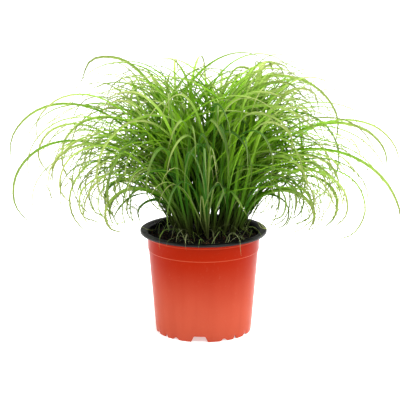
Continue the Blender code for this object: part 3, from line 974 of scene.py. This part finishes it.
def finer_leaf(shoot, mains, middle, draw):
    """A finer leaf of one of the kinds, which starts some way up a main leaf, or None."""
    outward = shoot.foot.xy - middle
    out = min(1.0, outward.length / CROWN_RADIUS)
    outward = math.degrees(math.atan2(outward.y, outward.x))
    weights = [inner * (1 - out) + outer * out for inner, outer in SHARES.values()]
    kind = draw.choices(list(SHARES), weights)[0]
    for _ in range(LEAF_TRIES):
        lean, level, tip_lean, length, width, reach, height = (
            draw.uniform(*limits) for limits in KINDS[kind]
        )
        free, tones = 180 - (30 if kind == "upright" else 95) * out, TONES.get(kind)
        heading = outward + draw.triangular(-free, free, 0)
        forward = -math.sin(math.radians(heading))
        if tones and forward > MOST_FORWARD:
            continue
        host = draw.choice(mains).points
        at = 1 + round(draw.random() * HIGHEST_START / PATH_STEP)
        points, faces = arched(
            host[at], unit(host[at + 1 : at + 2] - host[at])[0], heading, lean, level,
            tip_lean=max(100, tip_lean - FRONT_LIFT * max(0, forward)),
            length=length * MM,
            sway=draw.uniform(-60, 60) * (1 if tones else 0.6),
            spin=draw.uniform(-80, 80),
            weave=draw.uniform(*((6, 24) if tones else (0, 7))),
            waves=draw.uniform(0.4, 1.3),
            phase=draw.random(),
        )
        if not is_placed_well(points, middle, reach * MM, height * MM):
            continue
        broad = kind == "upright" and draw.random() < BROAD_SHARE
        width = width * MM * (BROAD_GAIN if broad else 1)
        tone = draw.uniform(*tones) if tones else leaf_tone(points, middle, draw)
        blunt = 1.0 if broad else 0.5 * bool(tones)
        return Leaf(points, faces, width, tone, blunt, at * PATH_STEP)
    return None


def wires(name, leaves):
    """A mesh of one chain of edges for each leaf, with what its sweep and its colour need."""
    points = np.vstack([leaf.points for leaf in leaves])
    edges, kept, start = [], [], 0
    for index, leaf in enumerate(leaves):
        count = len(leaf.points)
        edges += [(start + i, start + i + 1) for i in range(count - 1)]
        start += count
        steps = np.linalg.norm(np.diff(leaf.points, axis=0), axis=1)
        run = np.concatenate([[0], np.cumsum(steps)])
        along = run / run[-1]
        swell = np.minimum(1, 0.42 + run / (70 * MM))
        fine, broad = (1 - along**2.6) ** 0.9, (1 - along**8) ** 0.8
        width = leaf.width * swell * (fine + (broad - fine) * leaf.blunt)
        width[0] = width[-1] = 0
        tone, column = (np.full(count, value) for value in (leaf.tone, index / len(leaves)))
        kept.append((width, tone, along, run + leaf.start, column))
    mesh = bpy.data.meshes.new(name)
    mesh.from_pydata(points.tolist(), edges, [])
    for key, rows in zip(("width", "tone", "along", "run", "column"), zip(*kept)):
        values = mesh.attributes.new(key, "FLOAT", "POINT")
        values.data.foreach_set("value", np.concatenate(rows).astype(np.float32))
    faces = mesh.attributes.new("facing", "FLOAT_VECTOR", "POINT")
    faces.data.foreach_set("vector", np.vstack([leaf.faces for leaf in leaves]).ravel())
    return placed(name, mesh)


def blade_tree():
    """Sweeps a folded section along every chain of edges. The ends close where the width is 0."""
    nodes, given = new_tree(
        "folded_blades", Rings="Int", Sides="Int", Fold="Float", Thickness="Float",
        Blades="Int", Material="Material",
    )

    def kept(name, kind="FLOAT"):
        return nodes.add("GeometryNodeInputNamedAttribute", {"Name": name}, data_type=kind)

    paths = nodes.add("GeometryNodeMeshToCurve", {"Mesh": given["Geometry"]})
    paths = nodes.add("GeometryNodeResampleCurve", {"Curve": paths, "Count": given["Rings"]})
    facing = kept("facing", "FLOAT_VECTOR")
    paths = nodes.add(
        "GeometryNodeSetCurveNormal", {"Curve": paths, "Normal": facing}, mode="FREE"
    )
    line = nodes.add("GeometryNodeCurvePrimitiveLine")
    line = nodes.add("GeometryNodeResampleCurve", {"Curve": line, "Count": given["Sides"] + 1})
    round_share = nodes.add("GeometryNodeSplineParameter")
    across = round_share * math.tau
    x = across.cosine() * -0.5
    y = abs(across.sine()) * given["Fold"] + across.sine() * given["Thickness"] * 0.5
    spot = nodes.add("ShaderNodeCombineXYZ", {0: y, 1: x, 2: 0.0})
    line = nodes.add("GeometryNodeSetPosition", {"Geometry": line, "Position": spot})
    line = nodes.store(line, "around", round_share, "FLOAT", "POINT")
    blades = nodes.add(
        "GeometryNodeCurveToMesh", {"Curve": paths, "Profile Curve": line, "Scale": kept("width")}
    )
    strip = kept("around") * (1 - 2 * COLUMN_MARGIN) + COLUMN_MARGIN
    u = kept("column") + strip / given["Blades"]
    place = nodes.add("ShaderNodeCombineXYZ", {0: u, 1: kept("along"), 2: 0.0})
    blades = nodes.store(blades, "OFBake", place, "FLOAT2", "CORNER")
    inputs = {"Geometry": blades, "Distance": MERGE_DISTANCE}
    blades = nodes.add("GeometryNodeMergeByDistance", inputs)
    blades = nodes.add("GeometryNodeSetShadeSmooth", {"Geometry": blades, "Shade Smooth": True})
    sharp = nodes.add("GeometryNodeInputMeshEdgeAngle") > BLADE_SHARP
    blades = nodes.add(
        "GeometryNodeSetShadeSmooth",
        {"Geometry": blades, "Selection": sharp, "Shade Smooth": False},
        domain="EDGE",
    )
    end_tree(nodes, blades, given["Material"])
    return nodes.tree


def swept(name, leaves, rings, fold, thickness, material):
    """The piece that a folded section makes when it is swept along each of these leaves."""
    tree = bpy.data.node_groups.get("folded_blades") or blade_tree()
    return grown(
        wires("wires", leaves), tree, name, Rings=rings, Sides=BLADE_SIDES, Fold=fold,
        Thickness=thickness, Blades=len(leaves), Material=material,
    )


def leaf_finish(look):
    """Fresh leaf: each blade a shade of its own, yellower to the tip, with painted highlights on its
    edges, painted shade along its lower length, and brown at the soil.

    A blade whose tone is over 1 is a thin greyish one.
    """
    nodes = new_material("grass_leaf")
    tone, along, run = nodes.number("tone"), nodes.number("along"), nodes.number("run")
    around = nodes.number("around")
    deep, fresh = Vector(look.deep), Vector(look.fresh)
    veins = (around * (14 * math.tau)).sine()
    colour = nodes.layers(
        deep,
        ((tone + nodes.grain(45) * 0.5 - 0.25).ramp(0.2, 1.0), fresh),
        (along.ramp(0.42, 0.98, 0, 0.95) * tone.ramp(0.30, 0.90, 0.1, 1), look.tip),
        (veins.ramp(-1, 1, 0, 0.12), deep * 0.7),
        # Painted highlight: each blade is paler along its two edges.
        (abs((around * (2 * math.tau)).cosine()).ramp(0.80, 1.0, 0, 0.22), look.tip),
        # Painted shade: each blade is darker along its lower length, where the clump shades it.
        (run.ramp(30 * MM, 165 * MM, 0.85, 0), deep + Vector((0.012, 0.004, 0.001))),
        (run.ramp(4 * MM, 45 * MM, 0.75, 0), look.sheath),
        (tone.ramp(1.05, 1.5, 0, 0.8), look.wisp),
        (along.ramp(0.72, 1.0, 0, 0.75), (0.13, 0.18, 0.03)),
    )
    rough = nodes.grain(300).ramp(0.3, 0.7, 0.40, 0.55)
    inputs = {"Base Color": colour, "Roughness": rough, "Normal": nodes.bump(veins, 0.03 * MM, 0.5)}
    share = run.ramp(40 * MM, 170 * MM, 0.06, 0.34) * tone.ramp(1.0, 1.25, 1, 0.3)
    share = share * along.ramp(0.45, 0.90, 1, 0.35)
    return surface(nodes, inputs, 0.07, through=(fresh * 1.3, share))


class GRASS_OT_shoots(bpy.types.Operator):
    """Grows every shoot: smooth leaves along its solid's three, with finer ones between them"""

    bl_idname = "grass.grow_shoots"
    bl_label = "Grow shoots"

    def execute(self, context):
        look = context.scene.potted_grass.grass
        finish = leaf_finish(look)
        names = sorted(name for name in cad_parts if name.startswith("shoot_"))
        if not names:
            raise RuntimeError("the packed plant has no shoots")
        shoots = [read_shoot(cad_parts[name]) for name in names]
        middle = sum((shoot.foot.xy for shoot in shoots), Vector((0, 0))) / len(shoots)
        for number, (name, shoot) in enumerate(zip(names, shoots), start=1):
            draw = random.Random(FIRST_SEED + number)
            leaves = [main_leaf(shoot, rings, middle, draw) for rings in shoot.leaves]
            more = [finer_leaf(shoot, leaves, middle, draw) for _ in range(look.leaves)]
            more += [
                companion(leaf, draw)
                for leaf in leaves
                for _ in range(COMPANIONS)
                if np.hypot(*leaf.points.T[:2]).max() > LONG_REACH
            ]
            leaves += [leaf for leaf in more if leaf]
            section = look.rings, look.fold, look.thickness
            piece = swept(f"grass_{name}", leaves, *section, finish)
            finish_piece(piece, "leaf", name)
        return {"FINISHED"}


# ---- dry blades


def straw_finish(look):
    """Dry blades: pale straw with greener and browner lengths."""
    nodes = new_material("dry_blade")
    colour = nodes.layers(
        (0.15, 0.26, 0.035),
        (nodes.number("tone").ramp(0.2, 0.9), look.straw),
        (nodes.grain(120).ramp(0.5, 0.75, 0, 0.6), (0.13, 0.075, 0.03)),
        (nodes.number("along").ramp(0.75, 1.0, 0, 0.6), (0.24, 0.17, 0.08)),
    )
    veins = (nodes.number("around") * (8 * math.tau)).sine()
    normal = nodes.bump(veins, 0.03 * MM, 0.5)
    return surface(nodes, {"Base Color": colour, "Roughness": 0.7, "Normal": normal}, 0.3)


# Dry blades that hang over the brim: the heading of where each crosses it in degrees, how far in
# it starts, how high it rises over the brim and how far it hangs below it, in millimetres.
OVERHANGS = (
    (228, 40, 9, 9),
    (237, 16, 3, 4),
    (254, 26, 8, 5),
    (266, 12, 4, 3),
    (303, 18, 8, 14),
    (331, 20, 9, 6),
    (20, 16, 6, 9),
    (118, 18, 6, 8),
    (160, 15, 5, 5),
)
OVERHANG_POINTS = 26
# The curled dry blades: how many are drawn, how far out, and the fewest points that are kept.
LITTER_SEED = 8
LITTER_DRAWN = 42
LITTER_RADIUS = 46 * MM
LITTER_STEPS = 20
FEWEST_POINTS = 9
# Of every dry blade: the sections along it, its fold and thickness, and its widths in millimetres.
STRAW_SECTION = (20, 0.2, 0.3)
STRAW_WIDTHS = (0.45, 0.95)


def overhang(heading, start, rise, drop, draw):
    """A dry blade that leaves the soil, arches over the brim and hangs down outside."""
    turn = math.radians(heading)
    out = np.array((math.cos(turn), math.sin(turn), 0))
    side = np.array((-out[1], out[0], 0)) * draw.uniform(-6, 6) * MM
    inner, edge, hung = RIM_RADIUS - start * MM, RIM_RADIUS - 3 * MM, RIM_RADIUS + 1.6 * MM
    rows = [
        (inner, SOIL_LEVEL - 1 * MM, 1.0),
        (inner + 0.35 * (edge - inner), POT_TOP + 0.5 * rise * MM, 0.7),
        (edge - 4 * MM, POT_TOP + rise * MM, 0.25),
        (edge + 3.4 * MM, POT_TOP + (0.25 * rise + 1) * MM, 0.0),
        (hung, POT_TOP - 0.45 * drop * MM, -0.1),
        (hung - 0.3 * MM, POT_TOP - drop * MM, -0.35),
    ]
    spots = [out * radius + np.array((0, 0, high)) + side * lean for radius, high, lean in rows]
    return curved(spots, OVERHANG_POINTS)


def litter(draw):
    """A dry blade that curls on the soil."""
    turn, out = draw.uniform(0, math.tau), math.sqrt(draw.uniform(0.1, 1)) * LITTER_RADIUS
    x, y = math.cos(turn) * out, math.sin(turn) * out
    heading, bend = draw.uniform(0, 360), draw.uniform(-70, 70)
    rise, length = draw.uniform(2, 15) * MM, draw.uniform(16, 48) * MM
    points = []
    for step in range(LITTER_STEPS + 1):
        share = step / LITTER_STEPS
        high = soil_height(x, y) + rise * math.sin(math.pi * min(1, share * 1.15))
        points.append((x, y, high + 0.5 * MM))
        way = math.radians(heading + bend * share)
        x += math.cos(way) * length / LITTER_STEPS
        y += math.sin(way) * length / LITTER_STEPS
    points = np.array(points)
    inside = np.hypot(points[:, 0], points[:, 1]) < RIM_RADIUS - BRIM_WIDTH - BRIM_MARGIN
    return points[: int(np.argmin(inside)) or len(points)]


class GRASS_OT_litter(bpy.types.Operator):
    """Lays the dry curled blades on the soil and hangs a few of them over the brim"""

    bl_idname = "grass.lay_litter"
    bl_label = "Lay dry blades"

    def execute(self, context):
        look = context.scene.potted_grass.grass
        draw = random.Random(LITTER_SEED)
        paths = [overhang(*row, draw) for row in OVERHANGS]
        drawn = [litter(draw) for _ in range(LITTER_DRAWN)]
        paths += [path for path in drawn if len(path) >= FEWEST_POINTS]
        leaves = []
        for path in paths:
            along = np.gradient(path, axis=0)
            faces = unit(np.cross(np.cross(along, (0.3, 0.2, 1.0)), along))
            width = draw.uniform(*STRAW_WIDTHS) * MM
            leaves.append(Leaf(path, faces, width, draw.random(), blunt=0.4))
        piece = swept("dry_blades", leaves, *STRAW_SECTION, straw_finish(look))
        finish_piece(piece, "leaf")
        return {"FINISHED"}


# ---- studio


def area_light(name, place, size, power):
    """A soft rectangular light that points at the plant."""
    data = bpy.data.lights.new(name, "AREA")
    data.shape, data.size, data.size_y = "RECTANGLE", *size
    data.energy = power
    light = placed(name, data)
    light.location = place
    light.rotation_euler = (Vector(AIM) - Vector(place)).to_track_quat("-Z", "Y").to_euler()


class GRASS_OT_studio(bpy.types.Operator):
    """Sets up the pale floor, the white surround, the soft lights and the camera"""

    bl_idname = "grass.set_studio"
    bl_label = "Set up studio"

    def execute(self, context):
        look = context.scene.potted_grass.studio
        scene = context.scene
        bm = bmesh.new()
        bmesh.ops.create_grid(bm, x_segments=1, y_segments=1, size=FLOOR_SIZE)
        floor = built(bm, "floor")
        nodes = new_material("pale_floor")
        pale = Vector(look.floor)
        glow = nodes.mix(nodes.place("Y").ramp(-0.60, -0.24), (0.1, 0.1, 0.1), (1, 1, 1))
        inputs = {
            "Base Color": nodes.mix(nodes.grain(3, 2.0), pale, pale * 0.99),
            "Roughness": 0.9,
            "Emission Color": glow,
            "Emission Strength": look.glow,
        }
        floor.data.materials.append(surface(nodes, inputs, 0.1))
        world = bpy.data.worlds.new("surround")
        scene.world = world
        world.use_nodes = True
        light = world.node_tree.nodes["Background"]
        light.inputs["Color"].default_value = (1, 1, 1, 1)
        sky = Nodes(world.node_tree)
        way = sky.add("ShaderNodeSeparateXYZ", {0: sky.add("ShaderNodeTexCoord")}, out=1)
        sky.feed(light.inputs["Strength"], way.ramp(-0.7, 0.5, look.front, look.surround))
        for name, place, size, share in LIGHTS:
            area_light(name, place, size, share * look.key_light)
        data = bpy.data.cameras.new("camera")
        data.sensor_width, data.lens, data.clip_end = 36, CAMERA_LENS, 40
        camera = placed("camera", data)
        back, up = (look.distance * f(look.elevation) for f in (math.cos, math.sin))
        camera.location = (CAMERA_SHIFT, -back, POT_TOP + up)
        camera.rotation_euler = (CAMERA_TILT, 0, 0)
        scene.camera = camera
        scene.view_settings.view_transform = "Standard"
        return {"FINISHED"}


# ---- panel and start


class GRASS_PT_panel(bpy.types.Panel):
    bl_label = "Potted Ornamental Grass"
    bl_idname = "GRASS_PT_panel"
    bl_space_type = "VIEW_3D"
    bl_region_type = "UI"
    bl_category = "Grass"

    def draw(self, context):
        settings = context.scene.potted_grass
        for group in ("pot", "soil", "grass", "studio"):
            box = self.layout.box()
            look = getattr(settings, group)
            box.label(text=group.capitalize())
            for name in look.__annotations__:
                box.prop(look, name)
        for operator in OPERATORS:
            self.layout.operator(operator.bl_idname)


OPERATORS = (GRASS_OT_pot, GRASS_OT_soil, GRASS_OT_shoots, GRASS_OT_litter, GRASS_OT_studio)
CLASSES = (PotLook, SoilLook, GrassLook, StudioLook, GrassSettings, *OPERATORS, GRASS_PT_panel)


def register():
    for item in CLASSES:
        bpy.utils.register_class(item)
    bpy.types.Scene.potted_grass = PointerProperty(type=GrassSettings)


def unregister():
    del bpy.types.Scene.potted_grass
    for item in reversed(CLASSES):
        bpy.utils.unregister_class(item)


def main():
    register()
    bpy.ops.grass.make_pot()
    bpy.ops.grass.make_soil()
    bpy.ops.grass.grow_shoots()
    bpy.ops.grass.lay_litter()
    bpy.ops.grass.set_studio()


if __name__ == "__main__":
    main()
